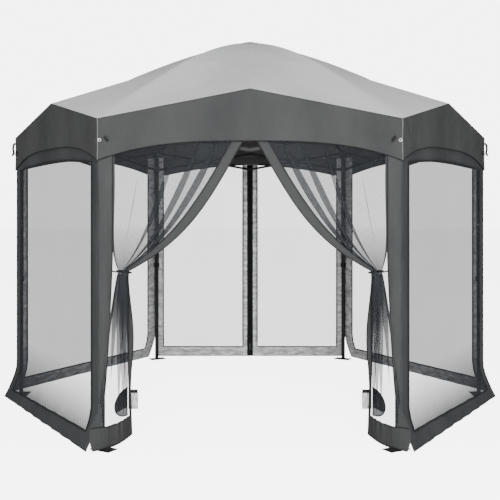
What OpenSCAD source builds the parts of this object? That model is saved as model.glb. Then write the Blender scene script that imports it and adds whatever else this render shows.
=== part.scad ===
// Six-sided pop-up screen house: folding truss frame, domed roof poles, canopy and mesh walls.
// Millimetres, +Z up, origin on the ground at the middle of the hexagon, doorway on the -Y side.

/* [Plan] */
// Distance from the middle of the hexagon to the axis of each leg
leg_radius = 1790; // [1700:10:1850]
// Height of the truss and roof pivots at the top of each leg
top_pivot_z = 1965; // [1900:5:2000]

/* [Legs] */
// Outer width of the upper leg's square tube
upper_leg_w = 30; // [30:1:32]
// Outer width of the lower leg's square tube
lower_leg_w = 26; // [24:0.5:26]
// Wall of both leg tubes
leg_wall = 1.2; // [1:0.1:1.4]
// Height of the bottom end of the upper leg
upper_leg_low_z = 880; // [800:10:900]
// Height of the top end of the lower leg
lower_leg_top_z = 1080; // [1050:10:1090]
// Width of the foot plate along the edge of the hexagon
foot_w = 150; // [120:5:150]
// Depth of the foot plate towards the middle of the room
foot_depth_in = 60; // [40:5:60]
// Distance between the two stake holes of a foot plate
stake_pitch = 110; // [90:5:115]
// Radius of a stake hole
stake_hole_r = 6; // [5:0.5:7]

/* [Truss] */
// Height of the truss: how far the slider sits below the top pivots when open
truss_drop = 150; // [140:5:180]
// Height of a truss bar's tube
bar_h = 20; // [18:1:20]
// Thickness of a truss bar's tube
bar_t = 10; // [9:0.5:10]
// Distance from the leg's axis to the first truss pivot
lug_reach = 52; // [50:1:56]

/* [Roof] */
// Radius at which the roof poles have their elbow
elbow_radius = 900; // [860:10:940]
// Height of the elbow above the ground
elbow_z = 2440; // [2420:5:2450]
// Height of the hub pivots above the ground
hub_z = 2698; // [2680:2:2700]
// Height of a roof pole's tube
pole_h = 22; // [20:1:22]
// Thickness of a roof pole's tube
pole_t = 14; // [12:1:14]

/* [Fabric] */
// Radius of the canopy's corners
canopy_radius = 1835; // [1832:1:1840]
// Height of the canopy's peak
peak_z = 2752; // [2750:1:2760]
// Height of the canopy over an elbow
canopy_elbow_z = 2478; // [2476:1:2484]
// Height of the eave at a corner
eave_corner_z = 2002; // [2000:1:2010]
// Height of the eave's peak at the middle of a side
eave_mid_z = 2182; // [2175:1:2190]
// Height of the valance's hem at a corner
hem_corner_z = 1750; // [1740:5:1760]
// Height of the valance's hem at the middle of a side
hem_mid_z = 1867; // [1860:1:1880]
// Height of the top of the walls, inside the valance
wall_top_z = 1928; // [1920:1:1935]
// How far the walls' skirt stands out at the ground
skirt_flare = 47; // [40:1:50]

/* [Hidden] */
$fn = 32;
corners = ["right", "back_right", "back_left", "left", "front_left", "front_right"];

// Pins and bores of every pivot
pin_r = 4;
bore_r = 4.08;
head_r = 7;
head_t = 2.5;
head_gap = 0.4;
lap_gap = 1;

// Lugs: flat plates that lie beside a bar, half a millimetre from it
lug_t = 9;
lug_edge = 0.5;
lug_r = 12;

// Top bracket and slider: square blocks round the leg
bracket_half = 21;
bracket_low_z = top_pivot_z - 30;
bracket_top_z = top_pivot_z + 25;
leg_bore_top_z = top_pivot_z - 15;
slider_half_h = 25;
slider_clearance = 0.5;
collar_half = 19;
collar_h = 40;
button_r = 5;
foot_t = 4;
foot_depth_out = 30;
stake_hole_x = -28;
button_z = upper_leg_low_z + 20;

// Truss geometry: the half side between two legs holds one pair of crossed bars
half_span = leg_radius / 2 - lug_reach;
bar_len = sqrt(half_span * half_span + truss_drop * truss_drop);
bar_angle = atan(truss_drop / half_span);
slider_z = top_pivot_z - truss_drop;

// Roof geometry
pole_reach = 45;
hub_reach = 60;
hub_r = 34;
outer_run = leg_radius - pole_reach - elbow_radius;
outer_rise = elbow_z - top_pivot_z;
inner_run = elbow_radius - hub_reach;
inner_rise = hub_z - elbow_z;

// Fabric geometry, measured outwards from the plane of a side's truss
cloth_t = 1.2;
wall_in = 30.5;
wall_low_z = 6;
skirt_top_z = 260;
wall_end_gap = 0.6;
eave_steps = 8;
door_tie_z = 1085;
door_tie_x = -720;
door_low_z = 10;
zip_z = 120;

// ---- helpers ----

module at_corner(i) {
    rotate(60 * i) translate([leg_radius, 0, 0]) children();
}

// Frame of one side: x runs from the leg's axis along the side; way is 1 or -1
module along_side(i, way) {
    at_corner(i) rotate(120 * way) children();
}

// Cylinder along Y from y0 to y1 at a point of the XZ plane
module y_rod(x, z, r, y0, y1) {
    translate([x, max(y0, y1), z]) rotate([90, 0, 0]) cylinder(h = abs(y1 - y0), r = r);
}

// Pivot pin with its head: it starts at y0 and its head lies past y1
module pin(x, z, y0, y1) {
    way = y1 > y0 ? 1 : -1;
    y_rod(x, z, pin_r, y0, y1 + way * (head_gap + head_t));
    y_rod(x, z, head_r, y1 + way * head_gap, y1 + way * (head_gap + head_t));
}

// Flat plate from x0 to a rounded end at x1, between y0 and y0 + lug_t
module lug(x0, x1, z, y0) {
    translate([x0, y0, z - lug_r]) cube([x1 - x0, lug_t, 2 * lug_r]);
    y_rod(x1, z, lug_r, y0, y0 + lug_t);
}

// Square tube standing on z0
module square_tube(w, wall, z0, z1) {
    difference() {
        translate([-w / 2, -w / 2, z0]) cube([w, w, z1 - z0]);
        translate([-w / 2 + wall, -w / 2 + wall, z0 - 1]) cube([w - 2 * wall, w - 2 * wall, z1 - z0 + 2]);
    }
}

// Hollow flat bar in the XZ plane, from its first pivot along X, with solid rounded ends
module flat_tube(len, h, y0, t) {
    wall = 1.1;
    plug = 16;
    difference() {
        union() {
            translate([0, y0, -h / 2]) cube([len, t, h]);
            y_rod(0, 0, h / 2, y0, y0 + t);
            y_rod(len, 0, h / 2, y0, y0 + t);
        }
        translate([plug, y0 + wall, -h / 2 + wall]) cube([len - 2 * plug, t - 2 * wall, h - 2 * wall]);
        // drain hole
        translate([2 * plug, y0 + t / 2, -h / 2 - 1]) cylinder(h = 3, r = 2);
    }
}

// ---- legs ----

module upper_leg(i) {
    color([0.13, 0.13, 0.14]) at_corner(i) {
        difference() {
            union() {
                translate([-upper_leg_w / 2, -upper_leg_w / 2, upper_leg_low_z])
                    cube([upper_leg_w, upper_leg_w, bracket_low_z - upper_leg_low_z + 1]);
                translate([-bracket_half, -bracket_half, bracket_low_z])
                    cube([2 * bracket_half, 2 * bracket_half, bracket_top_z - bracket_low_z]);
                translate([-collar_half, -collar_half, upper_leg_low_z])
                    cube([2 * collar_half, 2 * collar_half, collar_h]);
                for (way = [1, -1])
                    rotate(120 * way) lug(10, lug_reach, top_pivot_z, lug_edge - lug_t);
                rotate(180) lug(10, pole_reach, top_pivot_z, lug_edge - lug_t);
            }
            translate([-upper_leg_w / 2 + leg_wall, -upper_leg_w / 2 + leg_wall, upper_leg_low_z - 1])
                cube([upper_leg_w - 2 * leg_wall, upper_leg_w - 2 * leg_wall, leg_bore_top_z - upper_leg_low_z + 1]);
        }
        for (way = [1, -1])
            rotate(120 * way) pin(lug_reach, top_pivot_z, 0, lap_gap + bar_t);
        rotate(180) pin(pole_reach, top_pivot_z, 0, lap_gap + pole_t);
        // snap button on the inner face of the collar
        translate([-collar_half + 1, 0, button_z]) rotate([0, -90, 0]) cylinder(h = 5, r = button_r);
    }
}

module lower_leg(i) {
    color([0.16, 0.16, 0.17]) at_corner(i) {
        difference() {
            union() {
                square_tube(lower_leg_w, leg_wall, foot_t, lower_leg_top_z);
                translate([-foot_depth_in, -foot_w / 2, 0])
                    cube([foot_depth_in + foot_depth_out, foot_w, foot_t]);
            }
            for (y = [-stake_pitch / 2, stake_pitch / 2])
                translate([stake_hole_x, y, -1]) cylinder(h = foot_t + 2, r = stake_hole_r);
            // height holes under the collar
            for (step = [1:3])
                translate([-lower_leg_w / 2 - 1, 0, button_z - 60 * step])
                    rotate([0, 90, 0]) cylinder(h = leg_wall + 2, r = 4.5);
        }
    }
}

module slider(i) {
    ring_in = upper_leg_w / 2 + slider_clearance;
    color([0.10, 0.10, 0.11]) at_corner(i) {
        difference() {
            union() {
                translate([-bracket_half, -bracket_half, slider_z - slider_half_h])
                    cube([2 * bracket_half, 2 * bracket_half, 2 * slider_half_h]);
                for (way = [1, -1])
                    rotate(120 * way) lug(10, lug_reach, slider_z, -lug_edge);
            }
            translate([-ring_in, -ring_in, slider_z - slider_half_h - 1])
                cube([2 * ring_in, 2 * ring_in, 2 * slider_half_h + 2]);
            for (way = [1, -1])
                rotate(120 * way) y_rod(lug_reach, slider_z, bore_r, -2, lug_t + 1);
        }
    }
}

// ---- truss ----

// Bar that falls from the top bracket to the middle of the side
module falling_bar(i, way) {
    mid = bar_len / 2;
    color([0.15, 0.15, 0.16]) along_side(i, way)
        translate([lug_reach, 0, top_pivot_z]) rotate([0, bar_angle, 0]) {
            difference() {
                flat_tube(bar_len, bar_h, lap_gap, bar_t);
                y_rod(0, 0, bore_r, lap_gap - 1, lap_gap + bar_t + 1);
            }
            pin(mid, 0, lap_gap + bar_t / 2, -lap_gap - bar_t);
            y_rod(bar_len, 0, head_r, lap_gap + bar_t - 1, lap_gap + bar_t + head_t);
        }
}

// Bar that rises from the slider to the middle of the side
module rising_bar(i, way) {
    mid = bar_len / 2;
    y0 = -lap_gap - bar_t;
    color([0.15, 0.15, 0.16]) along_side(i, way)
        translate([lug_reach, 0, slider_z]) rotate([0, -bar_angle, 0]) {
            difference() {
                flat_tube(bar_len, bar_h, y0, bar_t);
                y_rod(mid, 0, bore_r, y0 - 1, y0 + bar_t + 1);
            }
            pin(0, 0, -lap_gap - 3, lug_t - lug_edge);
            y_rod(bar_len, 0, head_r, y0 + 1, y0 - head_t);
        }
}

// ---- roof frame ----

module outer_pole(i) {
    run_len = sqrt(outer_run * outer_run + outer_rise * outer_rise);
    slope = atan(outer_rise / outer_run);
    color([0.14, 0.14, 0.15]) rotate(60 * i)
        translate([leg_radius - pole_reach, 0, top_pivot_z]) rotate(180) rotate([0, -slope, 0]) {
            difference() {
                flat_tube(run_len, pole_h, lap_gap, pole_t);
                y_rod(0, 0, bore_r, lap_gap - 1, lap_gap + pole_t + 1);
            }
            pin(run_len, 0, lap_gap + 3, -lap_gap - pole_t);
        }
}

module inner_pole(i) {
    run_len = sqrt(inner_run * inner_run + inner_rise * inner_rise);
    slope = atan(inner_rise / inner_run);
    y0 = -lap_gap - pole_t;
    color([0.14, 0.14, 0.15]) rotate(60 * i)
        translate([elbow_radius, 0, elbow_z]) rotate(180) rotate([0, -slope, 0]) {
            difference() {
                flat_tube(run_len, pole_h, y0, pole_t);
                for (x = [0, run_len])
                    y_rod(x, 0, bore_r, y0 - 1, y0 + pole_t + 1);
            }
        }
}

module roof_hub() {
    color([0.10, 0.10, 0.11]) {
        translate([0, 0, hub_z - 28]) cylinder(h = 52, r = hub_r, $fn = 48);
        translate([0, 0, hub_z - 62]) cylinder(h = 36, r = 14);
        for (i = [0:5])
            rotate(60 * i) {
                lug(20, hub_reach, hub_z, -lug_edge - lug_t + 1);
                pin(hub_reach, hub_z, 0, lap_gap + pole_t);
            }
    }
}

// ---- fabric ----

function polar(r, a, z) = [r * cos(a), r * sin(a), z];

// Point of the eave line: side i, share s from corner i to corner i + 1
function eave_xy(r, i, s) =
    let (a = polar(r, 60 * i, 0), b = polar(r, 60 * (i + 1), 0)) [for (k = [0, 1]) a[k] + (b[k] - a[k]) * s];
function eave_top(s) = eave_corner_z + (eave_mid_z - eave_corner_z) * (1 - abs(2 * s - 1));
function hem_low(s) = hem_corner_z + (hem_mid_z - hem_corner_z) * (1 - pow(abs(2 * s - 1), 3));

module canopy_shell() {
    n = 6 * eave_steps;
    r_in = canopy_radius - cloth_t / cos(30);
    drop = 1.6;
    function loop(r, dz, low) = [for (i = [0:5], k = [0:eave_steps - 1])
        let (s = k / eave_steps, p = eave_xy(r, i, s)) [p[0], p[1], low ? hem_low(s) : eave_top(s) - dz]];
    function elbows(dz) = [for (i = [0:5]) polar(elbow_radius, 60 * i, canopy_elbow_z - dz)];
    points = concat(
        loop(canopy_radius, 0, false), loop(canopy_radius, 0, true),
        loop(r_in, 0, true), loop(r_in, drop, false),
        elbows(0), elbows(drop), [[0, 0, peak_z]], [[0, 0, peak_z - drop]]);
    elbow_out = 4 * n;
    elbow_in = 4 * n + 6;
    peak_out = 4 * n + 12;
    peak_in = peak_out + 1;
    half = eave_steps / 2;
    skin = [for (i = [0:5], k = [0:eave_steps - 1])
        let (a = i * eave_steps + k, b = (a + 1) % n, e = (k < half ? i : i + 1) % 6) [a, b, e]];
    faces = concat(
        [for (q = skin) [elbow_out + q[2], q[1], q[0]]],
        [for (q = skin) [3 * n + q[0], 3 * n + q[1], elbow_in + q[2]]],
        [for (i = [0:5]) [elbow_out + i, elbow_out + (i + 1) % 6, i * eave_steps + half]],
        [for (i = [0:5]) [3 * n + i * eave_steps + half, elbow_in + (i + 1) % 6, elbow_in + i]],
        [for (i = [0:5]) [peak_out, elbow_out + (i + 1) % 6, elbow_out + i]],
        [for (i = [0:5]) [elbow_in + i, elbow_in + (i + 1) % 6, peak_in]],
        [for (ring = [0:2], q = skin) [ring * n + q[0], ring * n + q[1], (ring + 1) * n + q[1]]],
        [for (ring = [0:2], q = skin) [ring * n + q[0], (ring + 1) * n + q[1], (ring + 1) * n + q[0]]]);
    polyhedron(points, faces);
}

// Flat batten in a sewn pocket that props up the eave at the middle of each side
module eave_batten(i) {
    side_out = (canopy_radius - leg_radius) * cos(30) - cloth_t - 1;
    rotate(60 * i + 30) translate([leg_radius * cos(30) + side_out - 3, -12, hem_mid_z + 20])
        cube([3, 24, eave_mid_z - hem_mid_z - 50]);
}

module canopy() {
    color([0.55, 0.56, 0.58]) {
        canopy_shell();
        for (i = [0:5])
            eave_batten(i);
    }
}

// One wall between corner i and the next: straight down, then flared out to its skirt
module wall_panel(i) {
    side = leg_radius * cos(30);
    function section(out) = [[side + wall_in + out, wall_top_z], [side + wall_in + out, skirt_top_z],
        [side + wall_in + skirt_flare + out, wall_low_z]];
    function ring(out, way) = [for (p = section(out)) [p[0], way * (p[0] * tan(30) - wall_end_gap), p[1]]];
    points = concat(ring(cloth_t, -1), ring(cloth_t, 1), ring(0, -1), ring(0, 1));
    faces = [
        [0, 3, 4], [0, 4, 1], [1, 4, 5], [1, 5, 2],
        [6, 10, 9], [6, 7, 10], [7, 11, 10], [7, 8, 11],
        [0, 6, 9], [0, 9, 3], [2, 5, 11], [2, 11, 8],
        [0, 1, 7], [0, 7, 6], [1, 2, 8], [1, 8, 7],
        [3, 9, 10], [3, 10, 4], [4, 10, 11], [4, 11, 5]];
    rotate(60 * i + 30) polyhedron(points, faces);
}

module wall_panels() {
    color([0.35, 0.36, 0.38])
        for (i = [0, 1, 2, 3, 5])
            wall_panel(i);
}

// Front leaf, drawn back to its post and tied, way -1 left, 1 right: a thin sheet above the tie,
// and below it a gathered skirt that hangs from the tie and sweeps into the room beside its post
module door_leaf(way) {
    side = leg_radius * cos(30);
    post_x = -leg_radius / 2 + 30;
    sheet = concat(
        [[post_x, door_tie_z + 20], [post_x, wall_top_z], [-12, wall_top_z]],
        [for (s = [0.2:0.2:0.8]) [-12 + (door_tie_x + 12) * pow(s, 1.35), wall_top_z + (door_tie_z - wall_top_z) * s]],
        [[door_tie_x, door_tie_z]]);
    // plan of the skirt's hem, measured from the tie
    skirt = [[-185, -25], [-122, 65], [-80, 150], [-45, 330], [-37, 333], [-70, 148], [-110, 60], [-176, -33]];
    color([0.25, 0.25, 0.27]) {
        translate([0, -side - wall_in, 0]) rotate([90, 0, 0])
            linear_extrude(height = cloth_t) polygon([for (p = sheet) [-way * p[0], p[1]]]);
        translate([-way * door_tie_x, -side - wall_in - cloth_t / 2, door_low_z])
            linear_extrude(height = door_tie_z + 8 - door_low_z, scale = 0.1)
                polygon([for (p = skirt) [-way * p[0], p[1]]]);
    }
}

module zip_slider() {
    y = leg_radius * cos(30) + wall_in + cloth_t + 1;
    color([0.08, 0.08, 0.09]) {
        translate([-7, y, zip_z]) cube([14, 5, 24]);
        translate([-4, y + 2, zip_z - 40]) cube([8, 2, 41]);
    }
}

// ---- nodes ----

for (i = [0:5]) {
    c = corners[i];
    upper_leg(i);
    lower_leg(i);
    slider(i);
    falling_bar(i, 1);
    falling_bar(i, -1);
    rising_bar(i, 1);
    rising_bar(i, -1);
    outer_pole(i);
    inner_pole(i);
}
roof_hub();
canopy();
wall_panels();
door_leaf(-1);  // door_leaf_left
door_leaf(1);  // door_leaf_right
zip_slider();
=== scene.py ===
# Six-sided pop-up screen house: a black folding steel frame under a light grey peaked canopy,
# with mesh walls in dark woven borders and a doorway whose two leaves are tied back.
import math
import bpy
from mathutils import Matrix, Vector


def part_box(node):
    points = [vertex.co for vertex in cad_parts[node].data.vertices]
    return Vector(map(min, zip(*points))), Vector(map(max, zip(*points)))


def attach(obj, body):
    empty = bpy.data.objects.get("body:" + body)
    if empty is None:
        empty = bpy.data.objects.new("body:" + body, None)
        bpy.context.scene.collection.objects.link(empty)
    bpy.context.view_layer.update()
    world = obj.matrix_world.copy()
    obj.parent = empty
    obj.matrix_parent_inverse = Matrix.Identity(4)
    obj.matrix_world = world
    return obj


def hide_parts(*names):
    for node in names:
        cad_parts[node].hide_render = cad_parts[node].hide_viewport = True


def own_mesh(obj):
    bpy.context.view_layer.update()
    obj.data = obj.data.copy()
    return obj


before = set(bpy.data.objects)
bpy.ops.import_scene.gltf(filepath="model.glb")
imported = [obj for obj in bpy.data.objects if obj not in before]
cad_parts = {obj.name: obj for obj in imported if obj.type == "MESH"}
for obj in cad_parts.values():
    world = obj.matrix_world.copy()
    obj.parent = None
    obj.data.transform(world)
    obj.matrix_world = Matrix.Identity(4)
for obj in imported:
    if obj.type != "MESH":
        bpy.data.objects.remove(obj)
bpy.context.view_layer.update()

# ---- The frame's own measures ----
# The hexagon's corners are counted from the right-hand leg, anticlockwise seen from above.
# Every cloth piece is placed from the legs: their circle, the flat distance to a side, and the wall's plane.
CORNERS = ["right", "back_right", "back_left", "left", "front_left", "front_right"]
foot_depth_out = 0.030
leg_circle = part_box("lower_leg_right")[1].x - foot_depth_out
side_flat = leg_circle * math.cos(math.radians(30))
FRONT, BACK = 4, 1


def corner_point(i, radius, z):
    turn = math.radians(60 * i)
    return Vector((radius * math.cos(turn), radius * math.sin(turn), z))


def side_axes(i):
    """Unit vectors of side i: from its corner towards the next one, and outwards."""
    turn = math.radians(60 * i + 30)
    return Vector((-math.sin(turn), math.cos(turn), 0)), Vector((math.cos(turn), math.sin(turn), 0))


def on_side(i, t, z, out):
    """Point t metres from corner i along side i, z up, and out metres outside the plane of its two legs.
    The side grows with out, so that neighbouring sides always meet on the corner's line."""
    along, outward = side_axes(i)
    reach = (t - leg_circle / 2) * (1 + 2 * out * math.tan(math.radians(30)) / leg_circle)
    return outward * (side_flat + out) + along * reach + Vector((0, 0, z))


# ---- Camera ----
# Eye height, level, square on to the doorway, with a short telephoto lens shifted down to frame the house.
bpy.ops.object.camera_add(location=(0, -6.83, 1.494), rotation=(math.radians(90), 0, 0))
camera = bpy.context.object
camera.name = "camera"
camera.data.sensor_width = 36
camera.data.lens = 62.86
camera.data.shift_y = -0.094
camera.data.dof.use_dof = False
camera.data.clip_end = 200
bpy.context.scene.camera = camera

# ---- Floor and light ----
# White studio: a wide pale floor and a white surround that is much brighter to the eye than the light it
# casts, one large soft box in front and above, a second one low in front that reaches through the doorway,
# and a weaker one low on each side.
seen_brightness = 6.0
floor_glow = 5.3
cast_light = 0.30


def studio_surface(tree, lit, shown):
    """Feeds the tree's output with lit for light that bounces, and with shown where it is seen directly."""
    seen = tree.nodes.new("ShaderNodeLightPath")
    mix = tree.nodes.new("ShaderNodeMixShader")
    tree.links.new(seen.outputs["Is Camera Ray"], mix.inputs[0])
    tree.links.new(lit.outputs[0], mix.inputs[1])
    tree.links.new(shown.outputs[0], mix.inputs[2])
    output = next(n for n in tree.nodes if n.type in ("OUTPUT_MATERIAL", "OUTPUT_WORLD"))
    tree.links.new(mix.outputs[0], output.inputs["Surface"])


bpy.ops.mesh.primitive_circle_add(vertices=96, radius=45, fill_type="NGON", location=(0, 0, -0.002))
floor = bpy.context.object
floor.name = "studio_floor"
floor.data.materials.append(bpy.data.materials.new("studio_floor_white"))
floor.data.materials[0].use_nodes = True
tree = floor.data.materials[0].node_tree
floor_shader = tree.nodes["Principled BSDF"]
floor_shader.inputs["Base Color"].default_value = (0.85, 0.85, 0.85, 1)
floor_shader.inputs["Roughness"].default_value = 0.9
floor_shader.inputs["Specular IOR Level"].default_value = 0.1
glow = tree.nodes.new("ShaderNodeEmission")
glow.inputs["Strength"].default_value = floor_glow
sum_shader = tree.nodes.new("ShaderNodeAddShader")
tree.links.new(floor_shader.outputs[0], sum_shader.inputs[0])
tree.links.new(glow.outputs[0], sum_shader.inputs[1])
studio_surface(tree, floor_shader, sum_shader)

world = bpy.data.worlds.new("studio_surround")
bpy.context.scene.world = world
world.use_nodes = True
background = world.node_tree.nodes["Background"]
background.inputs["Color"].default_value = (1, 1, 1, 1)
background.inputs["Strength"].default_value = cast_light
bright = world.node_tree.nodes.new("ShaderNodeBackground")
bright.inputs["Color"].default_value = (1, 1, 1, 1)
bright.inputs["Strength"].default_value = seen_brightness
studio_surface(world.node_tree, background, bright)


def soft_box(name, place, target, size, watts):
    bpy.ops.object.light_add(type="AREA", location=place)
    lamp = bpy.context.object
    lamp.name = name
    lamp.data.shape = "DISK"
    lamp.data.size = size
    lamp.data.energy = watts
    lamp.rotation_euler = (Vector(target) - Vector(place)).to_track_quat("-Z", "Y").to_euler()


soft_box("soft_box_front", (0.4, -8.0, 6.8), (0, 0, 1.7), 5, 820)
soft_box("soft_box_low", (0.3, -9.5, 2.1), (0, 1.6, 0.8), 3, 950)
soft_box("soft_box_left", (-8.5, -3.5, 1.9), (-1, -0.5, 1.6), 3, 260)
soft_box("soft_box_right", (8.5, -3.5, 1.9), (1, -0.5, 1.6), 3, 260)


# ---- Legs ----
# Square steel tube, the lower one sliding in the upper, satin black powder coat with a fine orange-peel skin.
# The top bracket and the collar on each upper leg are grained black nylon, told apart by their height.
class Link:
    """An output of a material's node, with the arithmetic of the Math node as Python operators."""

    def __init__(self, tree, socket):
        self.tree = tree
        self.socket = socket

    def math(self, operation, *terms):
        node = self.tree.nodes.new("ShaderNodeMath")
        node.operation = operation
        for socket, term in zip(node.inputs, terms):
            if isinstance(term, Link):
                self.tree.links.new(term.socket, socket)
            else:
                socket.default_value = term
        return Link(self.tree, node.outputs[0])

    def __add__(self, other):
        return self.math("ADD", self, other)

    def __sub__(self, other):
        return self.math("SUBTRACT", self, other)

    def __rsub__(self, other):
        return self.math("SUBTRACT", other, self)

    def __mul__(self, other):
        return self.math("MULTIPLY", self, other)

    def __gt__(self, other):
        return self.math("GREATER_THAN", self, other)

    def __lt__(self, other):
        return self.math("LESS_THAN", self, other)

    __radd__ = __add__
    __rmul__ = __mul__

    def clamped(self):
        return self.math("MINIMUM", self.math("MAXIMUM", self, 0.0), 1.0)


class Finish:
    """A material in the making. node() adds a node, and wear() sets or links the surface's own sockets."""

    def __init__(self, name, **constants):
        self.material = bpy.data.materials.new(name)
        self.material.use_nodes = True
        self.tree = self.material.node_tree
        self.shader = self.tree.nodes["Principled BSDF"]
        self.wear(constants)

    def feed(self, socket, value):
        if isinstance(value, Link):
            self.tree.links.new(value.socket, socket)
        elif isinstance(value, tuple) and len(value) == 3 and socket.type == "RGBA":
            socket.default_value = (*value, 1)
        else:
            socket.default_value = value

    def node(self, kind, settings=None, inputs=None, output=0):
        node = self.tree.nodes.new("ShaderNode" + kind)
        for name, value in (settings or {}).items():
            if name == "stops":
                while len(node.color_ramp.elements) < len(value):
                    node.color_ramp.elements.new(0.5)
                for element, (place, shade) in zip(node.color_ramp.elements, value):
                    element.position = place
                    element.color = (*shade, 1)
            else:
                setattr(node, name, value)
        for name, value in (inputs or {}).items():
            self.feed(node.inputs[name], value)
        return Link(self.tree, node.outputs[output])

    def wear(self, sockets):
        for name, value in sockets.items():
            self.feed(self.shader.inputs[name.replace("_", " ")], value)

    def place(self):
        return self.node("TexCoord", output=3)

    def cloth_place(self):
        return self.node("UVMap", {"uv_map": "UVMap"})

    def parts(self, vector):
        split = self.tree.nodes.new("ShaderNodeSeparateXYZ")
        self.tree.links.new(vector.socket, split.inputs[0])
        return [Link(self.tree, output) for output in split.outputs]

    def stretched(self, vector, scale, turn=0.0):
        return self.node("Mapping", inputs={
            "Vector": vector, "Scale": scale, "Rotation": (0, 0, math.radians(turn))})

    def noise(self, vector, scale, detail=3.0, roughness=0.5):
        return self.node("TexNoise", inputs={
            "Vector": vector, "Scale": scale, "Detail": detail, "Roughness": roughness})

    def blend(self, share, low, high):
        mix = self.tree.nodes.new("ShaderNodeMix")
        mix.data_type = "RGBA"
        for socket, value in ((mix.inputs[0], share), (mix.inputs[6], low), (mix.inputs[7], high)):
            self.feed(socket, value)
        return Link(self.tree, mix.outputs[2])

    def bump(self, height, depth, under=None):
        inputs = {"Height": height, "Strength": 1.0, "Distance": depth}
        if under is not None:
            inputs["Normal"] = under
        return self.node("Bump", inputs=inputs)


leg_black = (0.013, 0.013, 0.014)
nylon_black = (0.014, 0.014, 0.015)
bracket_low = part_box("slider_right")[1].z + 0.09
collar_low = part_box("upper_leg_right")[0].z
collar_high = collar_low + 0.041

coat = Finish("powder_coat_and_nylon", Metallic=0.0, Specular_IOR_Level=0.25)
z = coat.parts(coat.place())[2]
moulded = ((z > bracket_low) + (z < collar_high) * (z > collar_low - 0.002)).clamped()
tone = coat.noise(coat.place(), 9.0, 4.0)
peel = coat.noise(coat.place(), 900.0, 2.0)
grain = coat.noise(coat.place(), 2600.0, 1.0)
rubbed = (coat.noise(coat.stretched(coat.place(), (260.0, 260.0, 7.0)), 1.0, 2.0) - 0.60) * 3.0
coat_colour = coat.blend(tone, leg_black, tuple(1.7 * c for c in leg_black))
coat_colour = coat.blend((rubbed.clamped() * 0.35), coat_colour, (0.09, 0.09, 0.095))
coat.wear({
    "Base Color": coat.blend(moulded, coat_colour, nylon_black),
    "Roughness": 0.36 + tone * 0.12 + moulded * 0.2,
    "Normal": coat.bump(peel * (1 - moulded) + grain * moulded, 0.00012),
})
for corner in CORNERS:
    for leg in ("upper_leg_", "lower_leg_"):
        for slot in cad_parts[leg + corner].material_slots:
            slot.material = coat.material

# ---- Truss bars, roof poles ----
# Flat steel tube with pressed round ends and rivets. The same powder coat, with light scuffs scattered over
# it.
rod = Finish("tube_coat", Metallic=0.0, Specular_IOR_Level=0.15)
tone = rod.noise(rod.place(), 14.0, 4.0)
peel = rod.noise(rod.place(), 800.0, 2.0)
scuff = ((rod.noise(rod.stretched(rod.place(), (30.0, 30.0, 300.0)), 1.0, 3.0) - 0.62) * 5.0).clamped()
rod_black = rod.blend(tone, (0.013, 0.013, 0.014), (0.024, 0.024, 0.026))
rod.wear({
    "Base Color": rod.blend(scuff * 0.4, rod_black, (0.10, 0.10, 0.105)),
    "Roughness": 0.55 + tone * 0.15 - scuff * 0.08,
    "Normal": rod.bump(peel, 0.00012),
})
for name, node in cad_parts.items():
    if name.startswith(("falling_bar", "rising_bar", "outer_pole", "inner_pole")):
        for slot in node.material_slots:
            slot.material = rod.material

# ---- Sliders and roof hub ----
# Injection-moulded nylon with a fine spark grain and a slightly dusty surface.
nylon = Finish("grained_nylon", Specular_IOR_Level=0.4)
grain = nylon.noise(nylon.place(), 2200.0, 1.5)
dust = nylon.noise(nylon.place(), 35.0, 4.0)
nylon.wear({
    "Base Color": nylon.blend(dust, nylon_black, (0.030, 0.030, 0.032)),
    "Roughness": 0.5 + dust * 0.14,
    "Normal": nylon.bump(grain, 0.0002),
})
for name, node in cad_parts.items():
    if name.startswith("slider") or name == "roof_hub":
        for slot in node.material_slots:
            slot.material = nylon.material

# ---- Canopy roof ----
# Light grey coated polyester, cut as a gore over each roof pole and drawn tight from the peak to the eaves.
# Each gore is carried by the pole it lies over: the lower gores by the outer roof poles, the upper ones by
# the inner poles.
eave_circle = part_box("canopy")[1].x
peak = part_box("canopy")[1].z - 0.0004
eave_corner_z = 2.002
eave_mid_z = 2.182
elbow_circle = 0.900
elbow_cloth_z = 2.478
gore_sag = 0.016


def evenly(low, high, count):
    return [low + (high - low) * k / count for k in range(count + 1)]


def cloth_grid(name, columns, rows, place, flat_place=None):
    """A cloth sheet: a grid with its points at place(column, row), and its cut size as UVs in metres."""
    bpy.ops.object.select_all(action="DESELECT")
    bpy.ops.mesh.primitive_grid_add(x_subdivisions=len(columns) - 1, y_subdivisions=len(rows) - 1, size=1)
    sheet = bpy.context.object
    sheet.name = name
    mesh = sheet.data
    last_column, last_row = len(columns) - 1, len(rows) - 1
    steps = [(round((v.co.x + 0.5) * last_column), round((v.co.y + 0.5) * last_row)) for v in mesh.vertices]
    for vertex, (a, b) in zip(mesh.vertices, steps):
        vertex.co = place(columns[a], rows[b])
    flat_place = flat_place or (lambda column, row: (column, row))
    for loop in mesh.loops:
        a, b = steps[loop.vertex_index]
        mesh.uv_layers[0].data[loop.index].uv = flat_place(columns[a], rows[b])
    mesh.uv_layers[0].name = "UVMap"
    for polygon in mesh.polygons:
        polygon.use_smooth = True
    mesh.update()
    return sheet


def apply(piece, kind, **settings):
    bpy.context.view_layer.objects.active = piece
    modifier = piece.modifiers.new(kind, kind)
    for name, value in settings.items():
        setattr(modifier, name, value)
    bpy.ops.object.modifier_apply(modifier=modifier.name)


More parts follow.
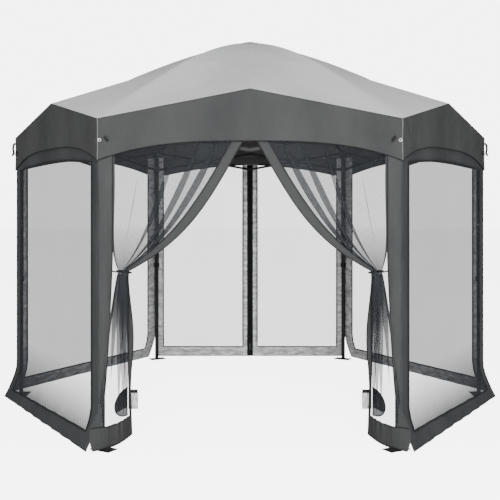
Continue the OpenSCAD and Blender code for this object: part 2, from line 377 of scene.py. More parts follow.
def woven(name, dark, light, rough, wrinkle, crinkle_scale):
    """Plain-woven polyester: two crossing threads, soft shade drift along the cut, and shallow wrinkles."""
    cloth = Finish(name, Specular_IOR_Level=0.08)
    flat = cloth.cloth_place()
    thread = {"Vector": flat, "Scale": 420.0, "Distortion": 0.6}
    warp = cloth.node("TexWave", {"bands_direction": "X"}, thread)
    weft = cloth.node("TexWave", {"bands_direction": "Y"}, thread)
    drift = cloth.noise(cloth.stretched(flat, (1.0, 0.55, 1.0)), 3.2, 4.0)
    fleck = cloth.noise(flat, 240.0, 2.0)
    shade = (drift * 0.75 + fleck * 0.25)
    folds = cloth.noise(cloth.stretched(flat, (1.0, 0.35, 1.0), 24.0), crinkle_scale, 3.0, 0.55)
    cloth.wear({
        "Base Color": cloth.blend(((shade - 0.30) * 2.4).clamped(), dark, light),
        "Roughness": rough + fleck * 0.2,
        "Normal": cloth.bump(warp + weft, 0.00010, cloth.bump(folds, wrinkle)),
    })
    return cloth.material


roof_cloth = woven("canopy_light_grey", (0.400, 0.405, 0.405), (0.480, 0.485, 0.485), 0.62, 0.0035, 7.0)
under_cloth = woven("canopy_underside", (0.110, 0.107, 0.104), (0.150, 0.146, 0.142), 0.6, 0.004, 9.0)


def ridge_point(i, u, corner_radius, corner_z, mid_radius, mid_z):
    """Point at share u (-1 to 1) from the middle of one side, over corner i, to the middle of the next."""
    at_corner = corner_point(i, corner_radius, corner_z)
    at_middle = corner_point(i + (0.5 if u > 0 else -0.5), mid_radius, mid_z)
    return at_corner.lerp(at_middle, abs(u))


def roof_point(i, u, q):
    """Lower gore for q from 0 at the eave to 1 at the poles' elbows, upper gore from 1 to 2 at the peak."""
    flat = math.cos(math.radians(30))
    eave = ridge_point(i, u, eave_circle, eave_corner_z, eave_circle * flat, eave_mid_z)
    elbow = ridge_point(i, u, elbow_circle, elbow_cloth_z, elbow_circle * flat, elbow_cloth_z - 0.012)
    if q <= 1:
        point = eave.lerp(elbow, q)
        point.z -= gore_sag * math.sin(math.pi * q) * math.sin(math.pi * abs(u)) ** 2
        point.z += 0.010 * math.sin(math.pi * q) * (1 - abs(u)) ** 3
    else:
        point = elbow.lerp(Vector((0, 0, peak)), q - 1)
        point.z += 0.030 * math.sin(math.pi * (q - 1)) * (0.7 + 0.3 * (1 - abs(u)) ** 2)
    return point


for i, corner in enumerate(CORNERS):
    tangent = corner_point(i + 1.5, 1, 0)
    for part, low, high in (("lower", 0.0, 1.0), ("upper", 1.0, 1.985)):
        gore = cloth_grid(
            f"roof_gore_{part}_{corner}", evenly(-1, 1, 32), evenly(low, high, 24),
            lambda u, q, i=i: roof_point(i, u, q),
            lambda u, q: (u * 0.9 * (1 - 0.45 * q), q * 0.9))
        gore.data.materials.append(roof_cloth)
        gore.data.materials.append(under_cloth)
        apply(gore, "SOLIDIFY", thickness=0.0008, offset=-1, material_offset=1, use_rim=False)
        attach(gore, ("outer_pole_" if part == "lower" else "inner_pole_") + corner)
        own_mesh(gore)
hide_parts("canopy")

# A round cap of the same cloth is sewn over the peak where the six gores meet, and rides with the hub.
cap = cloth_grid(
    "peak_cap", evenly(0, 1, 48), evenly(0, 1, 6),
    lambda a, r: corner_point(-6 * a, 0.004 + 0.082 * r, peak - 0.0002 - 0.016 * r ** 1.6),
    lambda a, r: (0.3 * a, 0.08 * r))
cap.data.materials.append(roof_cloth)
cap.data.materials.append(under_cloth)
apply(cap, "SOLIDIFY", thickness=0.0008, offset=-1, material_offset=1)
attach(cap, "roof_hub")

# ---- Valance ----
# Darker grey polyester skirt sewn to the eaves. Its hem is cut in an arch, turned up and bound in black tape.
# Each leg carries the half side to its left and the half to its right.
valance_out = (eave_circle - leg_circle) * math.cos(math.radians(30)) - 0.0004
hem_corner_z = 1.750
hem_mid_z = 1.867
valance_cloth = woven("valance_dark_grey", (0.028, 0.0285, 0.029), (0.044, 0.0445, 0.045), 0.6, 0.012, 6.0)
shaded_cloth = woven("valance_inside", (0.080, 0.076, 0.074), (0.115, 0.110, 0.106), 0.6, 0.006, 9.0)


def eave_height(s):
    return eave_corner_z + (eave_mid_z - eave_corner_z) * (1 - abs(2 * s - 1)) - 0.0006


def hem_height(s):
    return hem_corner_z + (hem_mid_z - hem_corner_z) * (1 - abs(2 * s - 1) ** 3)


def valance_point(i, s, q):
    """s is the share along side i, q is 0 at the hem and 1 at the eave."""
    z = hem_height(s) + (eave_height(s) - hem_height(s)) * q
    reach = min(s, 1 - s) * leg_circle
    pull = math.exp(-reach / 0.16) * math.sin(math.pi * q)
    slack = 0.006 * pull * (1 - math.exp(-reach / 0.02)) * (1 + math.sin(46 * z + 30 * reach + i))
    ripple = math.sin(9 * reach + 13 * z + 2 * i)
    slack += 0.0030 * math.sin(math.pi * q) * ripple * (1 - math.exp(-reach / 0.2))
    return on_side(i, s * leg_circle, z, valance_out - 0.003 + slack + 0.003 * abs(2 * q - 1))


def tube_along(name, points, radius, material, closed=False, sides=2):
    """A round cord, piping or wire through the points."""
    curve = bpy.data.curves.new(name, "CURVE")
    curve.dimensions = "3D"
    curve.bevel_depth = radius
    curve.bevel_resolution = sides
    curve.use_fill_caps = True
    spline = curve.splines.new("POLY")
    spline.points.add(len(points) - 1)
    for spot, point in zip(spline.points, points):
        spot.co = (*point, 1)
    spline.use_cyclic_u = closed
    tube = bpy.data.objects.new(name, curve)
    bpy.context.scene.collection.objects.link(tube)
    bpy.ops.object.select_all(action="DESELECT")
    tube.select_set(True)
    bpy.context.view_layer.objects.active = tube
    bpy.ops.object.convert(target="MESH")
    tube = bpy.context.object
    tube.data.materials.append(material)
    for polygon in tube.data.polygons:
        polygon.use_smooth = True
    return tube


def joined(name, pieces):
    bpy.ops.object.select_all(action="DESELECT")
    for piece in pieces:
        piece.select_set(True)
    bpy.context.view_layer.objects.active = pieces[0]
    bpy.ops.object.join()
    pieces[0].name = name
    return pieces[0]


tape = Finish("black_binding_tape", Specular_IOR_Level=0.12)
ribs = tape.noise(tape.stretched(tape.place(), (700.0, 700.0, 90.0)), 1.0, 2.0)
wear = tape.noise(tape.place(), 28.0, 3.0)
tape.wear({
    "Base Color": tape.blend(wear, (0.006, 0.006, 0.007), (0.016, 0.016, 0.017)),
    "Roughness": 0.62 + ribs * 0.12,
    "Normal": tape.bump(ribs, 0.0003),
})

seam_thread = woven("valance_seam", (0.16, 0.16, 0.165), (0.24, 0.24, 0.245), 0.6, 0.001, 9.0)

for i, corner in enumerate(CORNERS):
    following = CORNERS[(i + 1) % 6]
    halves = (("next", corner, 0.0, 0.5, i), ("prev", following, 0.5, 1.0, i + 1))
    for way, carrier, low, high, start in halves:
        half = cloth_grid(
            f"valance_{way}_{carrier}", evenly(low, high, 36), evenly(0, 1, 14),
            lambda s, q, i=i: valance_point(i, s, q),
            lambda s, q: (s * 1.835, hem_height(s) + q * (eave_height(s) - hem_height(s))))
        half.data.materials.append(valance_cloth)
        half.data.materials.append(shaded_cloth)
        apply(half, "SOLIDIFY", thickness=0.0008, offset=-1, material_offset=1, use_rim=False)
        hem = [valance_point(i, s, 0) for s in evenly(low, high, 36)]
        eave = [valance_point(i, s, 1) for s in evenly(low, high, 12)]
        binding = tube_along("binding", hem, 0.0032, tape.material)
        top_seam = tube_along("seam", eave, 0.0016, valance_cloth)
        trims = [half, binding, top_seam]
        if way == "next":
            stitches = [valance_point(i, 0, q) + side_axes(i)[1] * 0.0012 for q in evenly(0, 1, 12)]
            trims.append(tube_along("corner_seam", stitches, 0.0014, seam_thread))
        half = joined(half.name, trims)
        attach(half, "upper_leg_" + carrier)
        side_axes(i)[0]
        corner_point(start, leg_circle, 0)
        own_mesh(half)

# ---- Corner fittings of the canopy ----
# A steel eyelet and a black webbing tab are sewn to the valance beside each corner, for a guy line. At the
# left and right corners a webbing strap also hangs down the corner with its end turned out.
eyelet_from_corner = 0.016
tab_from_eyelet = 0.040
eyelet_radius = 0.0085

steel = Finish("eyelet_steel", Metallic=0.9)
dull = steel.noise(steel.place(), 120.0, 3.0)
steel.wear({
    "Base Color": steel.blend(dull, (0.42, 0.42, 0.43), (0.60, 0.60, 0.61)),
    "Roughness": 0.30 + dull * 0.2,
})

for i, corner in enumerate(CORNERS):
    fittings = []
    starts_side, ends_side = (i, eyelet_from_corner), (i - 1, leg_circle - eyelet_from_corner)
    if i in (0, 3):
        spots = (starts_side, ends_side)
    elif i == FRONT + 1:
        spots = (ends_side,)
    else:
        spots = (starts_side,)
    for side, t in spots:
        along, outward = side_axes(side)
        centre = on_side(side, t, 1.872, valance_out + 0.004)
        ring = [
            centre + along * eyelet_radius * math.cos(turn) + Vector((0, 0, eyelet_radius * math.sin(turn)))
            for turn in evenly(0, 2 * math.pi, 20)]
        fittings.append(tube_along("eyelet", ring, 0.0028, steel.material))
        inward = 1 if t < leg_circle / 2 else -1
        spot = on_side(side, t + inward * tab_from_eyelet, 1.880, valance_out + 0.006)
        ends = [spot + along * inward * 0.010 * k - Vector((0, 0, 0.014 * k)) for k in (-1, 0, 1)]
        fittings.append(tube_along("tab", ends, 0.0085, tape.material))
    if i in (0, 3):
        strap = ((1.838, 1.962), (1.851, 1.945), (1.853, 1.915), (1.847, 1.885), (1.860, 1.862))
        strap = [corner_point(i, radius, z) for radius, z in strap]
        fittings.append(tube_along("strap", strap, 0.009, tape.material))
    fitting = joined(f"corner_fitting_{corner}", fittings)
    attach(fitting, "upper_leg_" + corner)

# ---- Mesh walls ----
# Each side but the front is one hung panel: dark polyester border, silver coated on the room side, round a
# window of knitted insect mesh, with black piping on the window's edge. The skirt spreads outwards on the
# ground, cut apart at the corners.
wall_out = 0.031
wall_top_z = 1.928
wall_low_z = 0.007
skirt_top_z = 0.240
skirt_flare = 0.077
window_low_z = 0.105
side_strip = 0.115
back_strip = 0.077
zip_strip = 0.068
piping_radius = 0.0058

border_cloth = woven("wall_border_outside", (0.021, 0.022, 0.023), (0.040, 0.042, 0.043), 0.6, 0.008, 9.0)
# Painted shade: the room side of the band above the windows gets this dark cloth in place of the silver
# coating, for the shade under the eaves.
border_shaded = woven("wall_border_inside_painted_shade", (0.060, 0.060, 0.061), (0.085, 0.085, 0.087), 0.6, 0.004, 9.0)


def silver_coating(name):
    """Polyester with a silver polyurethane coating that has creased into soft crossways folds. Its colour
    runs from grey to white with the folds, as painted sheen and shade.
    """
    coating = Finish(name, Specular_IOR_Level=0.5)
    flat = coating.cloth_place()
    creases_and_sheen = coating.noise(coating.stretched(flat, (1.0, 2.6, 1.0), 18.0), 11.0, 4.0, 0.6)
    fine = coating.noise(flat, 60.0, 3.0)
    # Painted sheen and shade: the colour goes from grey to white, and the metallic share rises, along the
    # folds.
    coating.wear({
        "Base Color": coating.blend(((creases_and_sheen - 0.38) * 3.4).clamped(), (0.42, 0.425, 0.44), (1.0, 1.0, 1.0)),
        "Roughness": 0.38 + fine * 0.2,
        "Metallic": 0.10 + creases_and_sheen * 0.15,
        "Normal": coating.bump(fine, 0.0006, coating.bump(creases_and_sheen, 0.022)),
    })
    return coating.material


silver_cloth = silver_coating("silver_coating")


def insect_mesh(name, cover, drift_share, dense_at=0.0, spread=0.1, dense=0.0, edge=0.0):
    """Knitted mesh seen from further than its holes: partly see-through, with the soft bands of its knit.
    It is closed up further by dense within about spread metres of the height dense_at. On the door this is
    where it is gathered at the tie; on the side walls it is near the ground, as painted shade for the
    shadowed floor seen through the mesh. It is also closed up by edge above the tie towards the free edge,
    where it lies in close folds."""
    net = Finish(name, Roughness=0.85, Specular_IOR_Level=0.05)
    flat = net.cloth_place()
    rows = net.node("TexWave", {"bands_direction": "DIAGONAL"}, {
        "Vector": flat, "Scale": 14.0, "Distortion": 3.0, "Detail": 2.0, "Detail Scale": 0.6})
    haze = net.noise(flat, 2.4, 3.0)
    knots = net.noise(flat, 420.0, 1.0)
    across, up = net.parts(flat)[:2]
    away = up - dense_at
    folded = ((across - 0.46) * 5.0).clamped() * ((up - 0.98) * 5.0).clamped()
    # gathered covers the gathering at the door's tie, and on the side walls the painted shade near the
    # ground.
    gathered = (1.0 - away.math("ABSOLUTE", away) * (1 / spread)).clamped()
    knit = rows * (drift_share * 0.4) + haze * (drift_share * 0.6) + (knots - 0.5) * 0.1
    net.wear({
        "Base Color": net.blend(haze, (0.016, 0.018, 0.021), (0.026, 0.028, 0.032)),
        "Alpha": (cover - drift_share / 2 + knit + gathered * dense + folded * edge).clamped(),
    })
    return net.material


wall_net = insect_mesh("wall_insect_mesh", 0.64, 0.05)
# Painted shade: beside the doorway the side walls' mesh closes up towards the ground, for the shadowed floor
# seen through it.
side_net = insect_mesh("side_wall_insect_mesh_shaded_low", 0.62, 0.05, 0.0, 0.45, 0.42)


def wall_point(i, t, z, lift=0.0):
    flare = max(0.0, (skirt_top_z - z) / (skirt_top_z - wall_low_z)) ** 1.5 * skirt_flare
    middle = math.sin(math.pi * min(max(t / leg_circle, 0), 1))
    ripple = 0.0025 * math.sin(11 * t + 2.4 * i) * math.sin(1.7 * z + 5 * t) * middle
    pucker = 0.004 * math.sin(31 * t + i) * max(0.0, 1 - z / 0.3) * middle
    skirt = side_axes(i)[1] * flare + Vector((0, -0.9 * flare * far_share(i, t), 0))
    return on_side(i, t, z, wall_out + ripple + pucker + lift) + skirt


def far_share(i, t):
    """Share of the way from the front post to the other one on a panel beside the doorway, else 0."""
    share = min(max(t / leg_circle, 0), 1)
    return {FRONT - 1: 1 - share, FRONT + 1: share}.get(i, 0.0)


def window_low(i, t):
    return window_low_z - 0.040 * far_share(i, t)


def window_top(i, t):
    rise, ends = (0.034, 1.742) if i in (3, 5) else (0.100, 1.762)
    share = min(max((t - 0.1) / (leg_circle - 0.2), 0), 1)
    return ends + rise * math.sin(math.pi * share) ** 0.9


def split_off(piece, name, inside):
    """Takes the faces whose cut centre satisfies inside(t, z) out of a cloth grid, as a new piece."""
    bpy.ops.object.select_all(action="DESELECT")
    piece.select_set(True)
    bpy.context.view_layer.objects.active = piece
    bpy.ops.object.mode_set(mode="EDIT")
    bpy.ops.mesh.select_mode(type="FACE")
    bpy.ops.mesh.select_all(action="DESELECT")
    bpy.ops.object.mode_set(mode="OBJECT")
    flat = piece.data.uv_layers["UVMap"].data
    for polygon in piece.data.polygons:
        spots = [flat[k].uv for k in polygon.loop_indices]
        centre = sum((Vector(spot) for spot in spots), Vector((0, 0))) / len(spots)
        polygon.select = inside(centre.x, centre.y)
    bpy.ops.object.mode_set(mode="EDIT")
    bpy.ops.mesh.separate(type="SELECTED")
    bpy.ops.object.mode_set(mode="OBJECT")
    part = next(o for o in bpy.context.selected_objects if o != piece)
    part.name = name
    part.data.name = name
    return part


def frame_of_points(edges, i):
    """Points round a window between two columns, up one side, over the arch and down the other."""
    left, right = edges
    up = [(left, z) for z in evenly(window_low(i, left), window_top(i, left), 24)]
    over = [(t, window_top(i, t)) for t in evenly(left, right, 28)][1:]
    down = [(right, z) for z in evenly(window_top(i, right), window_low(i, right), 24)][1:]
    along = [(t, window_low(i, t)) for t in evenly(right, left, 24)][1:-1]
    return [wall_point(i, t, z) for t, z in up + over + down + along]


for i, corner in enumerate(CORNERS):
    if i == FRONT:
        continue
    strip_a = back_strip if i == BACK else side_strip
    strip_b = strip_a
    middle = leg_circle / 2
    windows = [(strip_a, leg_circle - strip_b)]
    if i == BACK:
        windows = [(strip_a, middle - zip_strip), (middle + zip_strip, leg_circle - strip_b)]
    columns = evenly(0, strip_a, 4)
    for k, (low, high) in enumerate(windows):
        if k:
            columns += evenly(windows[0][1], low, 4)[1:]
        columns += evenly(low, high, 44 if i != BACK else 22)[1:]
    columns += evenly(leg_circle - strip_b, leg_circle, 4)[1:]
    rows = evenly(0, 1, 5) + evenly(1, 2, 34)[1:] + evenly(2, 3, 5)[1:]

    def height(t, row, i=i):
        if row <= 1:
            return wall_low_z + (window_low(i, t) - wall_low_z) * row
        if row <= 2:
            return window_low(i, t) + (window_top(i, t) - window_low(i, t)) * (row - 1)
        return window_top(i, t) + (wall_top_z - window_top(i, t)) * (row - 2)

    border = cloth_grid(
        f"wall_border_{corner}", columns, rows,
        lambda t, row: wall_point(i, t, height(t, row)), lambda t, row: (t, row))
    net = split_off(
        border, f"wall_mesh_{corner}",
        lambda t, row: 1 < row < 2 and any(a < t < b for a, b in windows))
    for piece in (border, net):
        flat = piece.data.uv_layers["UVMap"].data
        for loop in flat:
            loop.uv = (loop.uv[0], height(loop.uv[0], loop.uv[1]))
    net.data.materials.append(side_net if i in (FRONT - 1, FRONT + 1) else wall_net)
    for cloth in (border_cloth, silver_cloth, border_cloth, border_shaded):
        border.data.materials.append(cloth)
    flat = border.data.uv_layers["UVMap"].data
    for polygon in border.data.polygons:
        spots = [flat[k].uv for k in polygon.loop_indices]
        t = sum(spot[0] for spot in spots) / len(spots)
        z = sum(spot[1] for spot in spots) / len(spots)
        # Index 2 puts the dark room-side cloth, as painted shade, on the band above the window.
        polygon.material_index = 2 if z > window_top(i, t) and strip_a < t < leg_circle - strip_b else 0
    apply(border, "SOLIDIFY", thickness=0.0008, offset=0, material_offset=1)
    trims = [
        tube_along("piping", frame_of_points(edges, i), piping_radius, tape.material, True)
        for edges in windows]
    hem = [wall_point(i, t, wall_low_z + 0.002) for t in evenly(0, leg_circle, 40)]
    trims.append(tube_along("hem", hem, 0.0022, tape.material))
    trim = joined(f"wall_piping_{corner}", trims)
    for piece in (border, net, trim):
        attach(piece, "upper_leg_" + corner)
        side_axes(i)[0]
        corner_point(i, leg_circle, 0)
        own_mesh(piece)
    width = sum(b - a for a, b in windows)
    width * 1.67
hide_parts("wall_panels")

# ---- Back zip ----
# The back wall opens down its middle: a black woven zip tape with a coil of nylon teeth, and a coated metal
# slider with a pull tab parked near the bottom. All of it goes with the back wall.
tape_half = 0.027
zip_top_z = 1.86
slider_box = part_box("zip_slider")

zip_finish = Finish("zip_tape_and_coil", Specular_IOR_Level=0.12)
x, y, z = zip_finish.parts(zip_finish.place())
near_coil = (x.math("ABSOLUTE", x) < 0.006)
teeth = zip_finish.node("TexWave", {"bands_direction": "Z"}, {"Vector": zip_finish.place(), "Scale": 110.0})
twill = zip_finish.noise(zip_finish.stretched(zip_finish.place(), (500.0, 500.0, 120.0)), 1.0, 2.0)
lint = zip_finish.noise(zip_finish.place(), 20.0, 3.0)
zip_finish.wear({
    "Base Color": zip_finish.blend(lint, (0.005, 0.005, 0.006), (0.012, 0.012, 0.013)),
    "Roughness": 0.65 - near_coil * 0.25 + twill * 0.08,
    "Normal": zip_finish.bump(teeth * near_coil + twill * (1 - near_coil) * 0.3, 0.0012),
})
middle = leg_circle / 2


def tape_point(t, z):
    """The tape stands proud over the coil in its middle."""
    return wall_point(BACK, t, z, 0.0016 + 0.0022 * math.cos(math.pi * (t - middle) / tape_half / 2) ** 8)


zip_tape = cloth_grid(
    "back_zip_tape", evenly(middle - tape_half, middle + tape_half, 8), evenly(0.012, zip_top_z, 60),
    tape_point,
    lambda t, z: (t, z))
zip_tape.data.materials.append(zip_finish.material)
apply(zip_tape, "SOLIDIFY", thickness=0.0055, offset=-1)
coil = [wall_point(BACK, middle, z, 0.0042) for z in evenly(0.014, zip_top_z - 0.01, 70)]
coil = tube_along("coil", coil, 0.0028, zip_finish.material)
zip_tape = joined("back_zip_tape", [zip_tape, coil])

zinc = Finish("coated_zinc", Metallic=0.7)
pits = zinc.noise(zinc.place(), 400.0, 2.0)
worn = zinc.noise(zinc.place(), 90.0, 2.0)
zinc.wear({
    "Base Color": zinc.blend(((worn - 0.5) * 3.0).clamped(), (0.035, 0.035, 0.037), (0.20, 0.20, 0.205)),
    "Roughness": 0.32 + pits * 0.15,
    "Normal": zinc.bump(pits, 0.0002),
})


def shaped_block(name, low, high, bevel, material, taper=1.0):
    """A cast or moulded block between two corners, narrowed to taper at its bottom, with rounded edges."""
    low, high = Vector(low), Vector(high)
    bpy.ops.object.select_all(action="DESELECT")
    bpy.ops.mesh.primitive_cube_add(size=1)
    block = bpy.context.object
    block.name = name
    for vertex in block.data.vertices:
        share = vertex.co + Vector((0.5, 0.5, 0.5))
        if vertex.co.z < 0:
            share.x = 0.5 + (share.x - 0.5) * taper
        vertex.co = Vector([a + (b - a) * s for a, b, s in zip(low, high, share)])
    block.data.materials.append(material)
    apply(block, "BEVEL", width=bevel, segments=3, limit_method="NONE")
    for polygon in block.data.polygons:
        polygon.use_smooth = True
    return block


low, high = slider_box
slider_low_z = high.z - 0.024
zip_slider = joined("back_zip_slider", [
    shaped_block(
        "body", (low.x, low.y + 0.001, slider_low_z), (high.x, high.y + 0.001, high.z),
        0.0022, zinc.material, 0.7),
    shaped_block(
        "bridge", (-0.003, high.y - 0.001, slider_low_z + 0.004), (0.003, high.y + 0.004, high.z - 0.004),
        0.0012, zinc.material),
    shaped_block(
        "pull", (-0.005, high.y + 0.0005, low.z), (0.005, high.y + 0.0030, slider_low_z + 0.008),
        0.0012, zinc.material, 1.3),
])
for piece in (zip_tape, zip_slider):
    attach(piece, "upper_leg_back_right")
    side_axes(BACK)[0]
    corner_point(BACK, leg_circle, 0)
    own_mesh(piece)
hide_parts("zip_slider")

# ---- Door leaves ----
# Two mesh leaves close the front with zips. Each is drawn to its own post by a tie at waist height, so it
# falls in pleats from the eave to the tie, and below it spreads again and sweeps into the room beside the
# post. A cover hides the post, and a half round patch with a pocket is bound into the leaf near the floor.
front_out = 0.033
leaf_top_z = 1.925
tie_z = 1.085
tie_x = -0.752
leaf_hem_z = 0.012
edge_band = 0.060
hem_band = 0.135
leaf_width = 0.88
pleats = 4.2
door_net = insect_mesh("door_insect_mesh", 0.46, 0.06, 0.93, 0.34, 0.42, 0.16)
hem_path = [
    Vector((-0.937, -1.620)), Vector((-0.842, -1.524)), Vector((-0.790, -1.395)), Vector((-0.757, -1.232))]


def along_hem(a):
    """Plan of the leaf's hem as one smooth curve from the post to the free edge."""
    p0, p1, p2, p3 = hem_path
    b1, b2 = (18 * p1 - 9 * p2 - 5 * p0 + 2 * p3) / 6, (18 * p2 - 9 * p1 - 5 * p3 + 2 * p0) / 6
    return p0 * (1 - a) ** 3 + b1 * (3 * a * (1 - a) ** 2) + b2 * (3 * a * a * (1 - a)) + p3 * a ** 3


def free_edge(b):
    """The leaf's free edge in the doorway's plane (x and z), from the eave at 0 to the tie at 1."""
    return Vector((-(0.010 + 0.470 * b + 0.250 * b ** 4.5), leaf_top_z + (tie_z - leaf_top_z) * b))


def band_edge(b):
    """Where the free edge's band is sewn to the mesh: a band's width inside it, less at the tie."""
    ahead, behind = free_edge(min(1, b + 0.02)), free_edge(max(0, b - 0.02))
    run = (ahead - behind).normalized()
    narrow = 1 - 0.62 * max(0.0, (b - 0.55) / 0.45) ** 1.5
    return free_edge(b) + Vector((run.y, -run.x)) * edge_band * narrow


def leaf_point(way, a, b, lift=0.0):
    """a is 0 at the post and 1 at the free edge; b is 0 at the top, 1 at the tie and 2 at the hem.
    way is 1 for the left leaf and -1 for the right one."""
    inner = 1 - edge_band / leaf_width
    share = min(a / inner, 1)
    phase = 2 * math.pi * pleats * share ** 1.9 + 0.9
    plane = -(side_flat + front_out) + 0.010 * max(0.0, 1 - b) ** 6
    calm = min(1.0, (1 - share) / 0.08) * min(1.0, share / 0.05 + 0.3)
    in_band = max(0.0, (a - inner) / (1 - inner))
    if b <= 1:
        sewn, free = band_edge(b), free_edge(b)
        post_x = -0.846 + (tie_x - 0.040 + 0.846) * b ** 7
        x = post_x + (sewn.x - post_x) * share + (free.x - sewn.x) * in_band
        nominal = leaf_top_z + (tie_z - leaf_top_z) * b
        z = nominal + (sewn.y - nominal) * share ** 2 + (free.y - sewn.y) * in_band
        fold = 0.040 * math.sin(math.pi * b ** 0.75) ** 0.9 * calm + 0.002 * calm
        deep = (0.0008 + 0.024 * b) * calm
        forward = 0.012 * math.sin(math.pi * b) ** 2 * max(share ** 6, in_band)
        y = plane + deep * (math.cos(phase) + 1 - b) - 0.008 * b - forward
        point = Vector((x + fold * math.sin(phase), y, z))
    else:
        r = b - 1
        hem = along_hem(a)
        start = leaf_point(1, a, 1)
        point = Vector((hem.x, hem.y, leaf_hem_z))
        point.x = start.x + (hem.x - start.x) * r ** 0.72
        point.y = start.y + (hem.y - start.y) * r ** 1.10
        point.z = start.z + (leaf_hem_z - start.z) * r
        swell = math.sin(math.pi * min(1, r ** 0.5)) ** 1.2 * calm
        point.x -= 0.035 * (1 - a) ** 8 * math.sin(math.pi * min(1.0, point.z / 0.24))
        twist = 0.026 * in_band * math.sin(math.pi * min(1.0, r * 1.35)) ** 2
        point.x += 0.026 * swell * math.sin(phase) + lift + twist
        point.y += 0.024 * swell * math.cos(phase)
    point.y -= lift
    point.x *= way
    return point


cover_width = 0.087
cover_low_z = 0.165
front_y = -(side_flat + front_out)
hem_row, gusset_width = 1.72, 0.16


def cover_point(way, a, z):
    """Point of a post's cover at share a of its width from the house's corner, at height z."""
    width = cover_width * max(0.0, z - cover_low_z) ** 0.45 if z < cover_low_z + 1 else cover_width
    rounding = 0.016 * math.sin(math.pi * min(1, a * 0.9 + 0.08)) * min(1, width / 0.06)
    corner_x = -(leg_circle + 0.031 / math.cos(math.radians(30))) / 2
    crease = 0.0015 * math.sin(21 * z + 9 * a)
    below_valance = min(1.0, max(0.0, (1.74 - z) / 0.2))
    return Vector((way * (corner_x + width * a), front_y - 0.001 - (rounding + crease) * below_valance, z))


def tie_ring_point(way, turn):
    """Round the gathered leaf, with turn in radians from the side nearest the doorway's middle."""
    across, deep = 0.044 * math.cos(turn), 0.044 * math.sin(turn)
    return Vector((way * (tie_x - 0.008 + across), front_y + 0.021 + deep, 1.079 - 0.006 * math.cos(turn)))


def tie_lead_point(way, k):
    """From the post's cover at k = 0 to the gathered leaf at 1, hanging a little in between."""
    sag = 0.004 * math.sin(math.pi * k)
    return Vector((way * (-0.846 + 0.056 * k), front_y + 0.004 - 0.016 * k, 1.094 - 0.014 * k - sag))


def patch_point(way, a, turn):
    """a runs from the free edge's middle outwards, turn from the bottom of the half disc round to its top."""
    angle = math.pi * (turn - 0.5)
    across = 0.055 * a * math.cos(angle)
    return Vector((way * (-0.773 - across), -1.315 - 3.1 * across, 0.243 + 0.086 * a * math.sin(angle)))



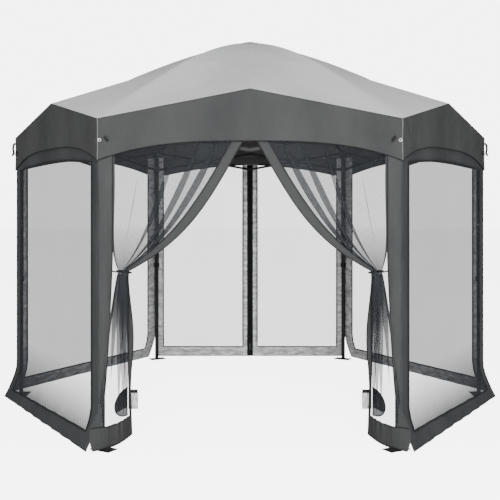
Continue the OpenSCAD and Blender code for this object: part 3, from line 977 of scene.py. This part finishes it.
for way, corner, i in ((1, "front_left", 4), (-1, "front_right", 5)):
    side_name = "left" if way == 1 else "right"
    edge = 1 - edge_band / leaf_width
    columns = evenly(0, edge, 110) + evenly(edge, 1, 6)[1:]
    band_row = 2 - hem_band / (tie_z - leaf_hem_z)
    rows = evenly(0, 0.05, 2) + evenly(0.05, 1, 40)[1:]
    rows += evenly(1, band_row, 40)[1:] + evenly(band_row, 2, 8)[1:]
    if way == -1:
        columns = columns[::-1]
    rows = rows[::-1]
    band = cloth_grid(
        f"door_band_{side_name}", columns, rows,
        lambda a, b, way=way: leaf_point(way, a, b), lambda a, b: (a, b))
    net = split_off(
        band, f"door_mesh_{side_name}",
        lambda a, b: max(0.02, gusset_width * (b - hem_row) / 0.16) < a < edge and 0.05 < b < band_row)
    for piece in (band, net):
        for loop in piece.data.uv_layers["UVMap"].data:
            loop.uv = (loop.uv[0] * leaf_width, (2 - loop.uv[1]) * 0.95)
    net.data.materials.append(door_net)
    band.data.materials.append(valance_cloth)
    band.data.materials.append(silver_cloth)
    apply(band, "SOLIDIFY", thickness=0.0012, offset=0, material_offset=1)
    piping = joined(f"door_piping_{side_name}", [
        tube_along(name, [leaf_point(way, a, b, lift) for a, b in path], radius, tape.material)
        for name, path, lift, radius in (
            ("inner", [(edge, b) for b in evenly(0.05, band_row, 90)], 0.002, 0.0032),
            ("outer", [(1, b) for b in evenly(0, 2, 90)], 0.001, 0.0026),
            ("low", [(a, band_row) for a in evenly(0, edge, 110)], 0.002, 0.0030),
            ("hem", [(a, 2) for a in evenly(0, 1, 110)], 0.0, 0.0026))
    ])
    # The post's cover is a strip of the valance's cloth that narrows to nothing where the skirts part.
    cover = cloth_grid(
        f"post_cover_{side_name}", evenly(0, 1, 10), evenly(cover_low_z, 1.93, 70),
        lambda a, z, way=way: cover_point(way, a, z), lambda a, z: (a * 0.09, z))
    cover.data.materials.append(valance_cloth)
    cover.data.materials.append(silver_cloth)
    if way == 1:
        apply(cover, "SOLIDIFY", thickness=0.0010, offset=-1, material_offset=1)
    else:
        apply(cover, "SOLIDIFY", thickness=0.0010, offset=1, material_offset=0)
    cover_edge = [cover_point(way, 1, z) for z in evenly(cover_low_z, 1.90, 60)]
    cover = joined(cover.name, [cover, tube_along("edge", cover_edge, 0.0028, tape.material)])
    # A thin black cord is tied round the gathered leaf and runs back to the post, with its toggle in front.
    ring = [tie_ring_point(way, turn) for turn in evenly(0, 2 * math.pi, 28)]
    lead = [tie_lead_point(way, k) for k in evenly(0, 1, 12)]
    toggle_x = way * -0.738
    tie = joined(f"tie_cord_{side_name}", [
        tube_along("ring", ring, 0.0042, tape.material),
        tube_along("lead", lead, 0.0042, tape.material),
        shaped_block(
            "toggle", (toggle_x - 0.013, front_y - 0.030, 1.052), (toggle_x + 0.013, front_y - 0.012, 1.074),
            0.005, tape.material),
    ])
    # A half round patch is bound into the free edge near the floor, with a silver pocket beside it.
    patch = cloth_grid(
        f"door_patch_{side_name}", evenly(0, 1, 16), evenly(0, 1, 30),
        lambda a, turn, way=way: patch_point(way, a, turn), lambda a, turn: (a * 0.09, turn * 0.27))
    patch.data.materials.append(valance_cloth)
    patch.data.materials.append(silver_cloth)
    for polygon in patch.data.polygons:
        polygon.material_index = 1 if polygon.center.z < 0.205 else 0
    apply(patch, "SOLIDIFY", thickness=0.0012, offset=0)
    rim = [patch_point(way, 1, turn) for turn in evenly(0, 1, 40)]
    pocket_x, tab_x = way * -0.745, way * -0.738
    pocket = shaped_block(
        "pocket", (pocket_x - 0.031, -1.262, 0.180), (pocket_x + 0.031, -1.254, 0.292), 0.003, silver_cloth)
    tab = shaped_block(
        "tab", (tab_x - 0.022, -1.268, 0.284), (tab_x + 0.022, -1.253, 0.304), 0.003, tape.material)
    patch = joined(patch.name, [patch, tube_along("rim", rim, 0.0036, tape.material), pocket, tab])
    for piece in (net, band, piping, cover, tie, patch):
        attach(piece, "upper_leg_" + corner)
        corner_point(i, leg_circle, 0)
        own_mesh(piece)
    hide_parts("door_leaf_" + side_name)
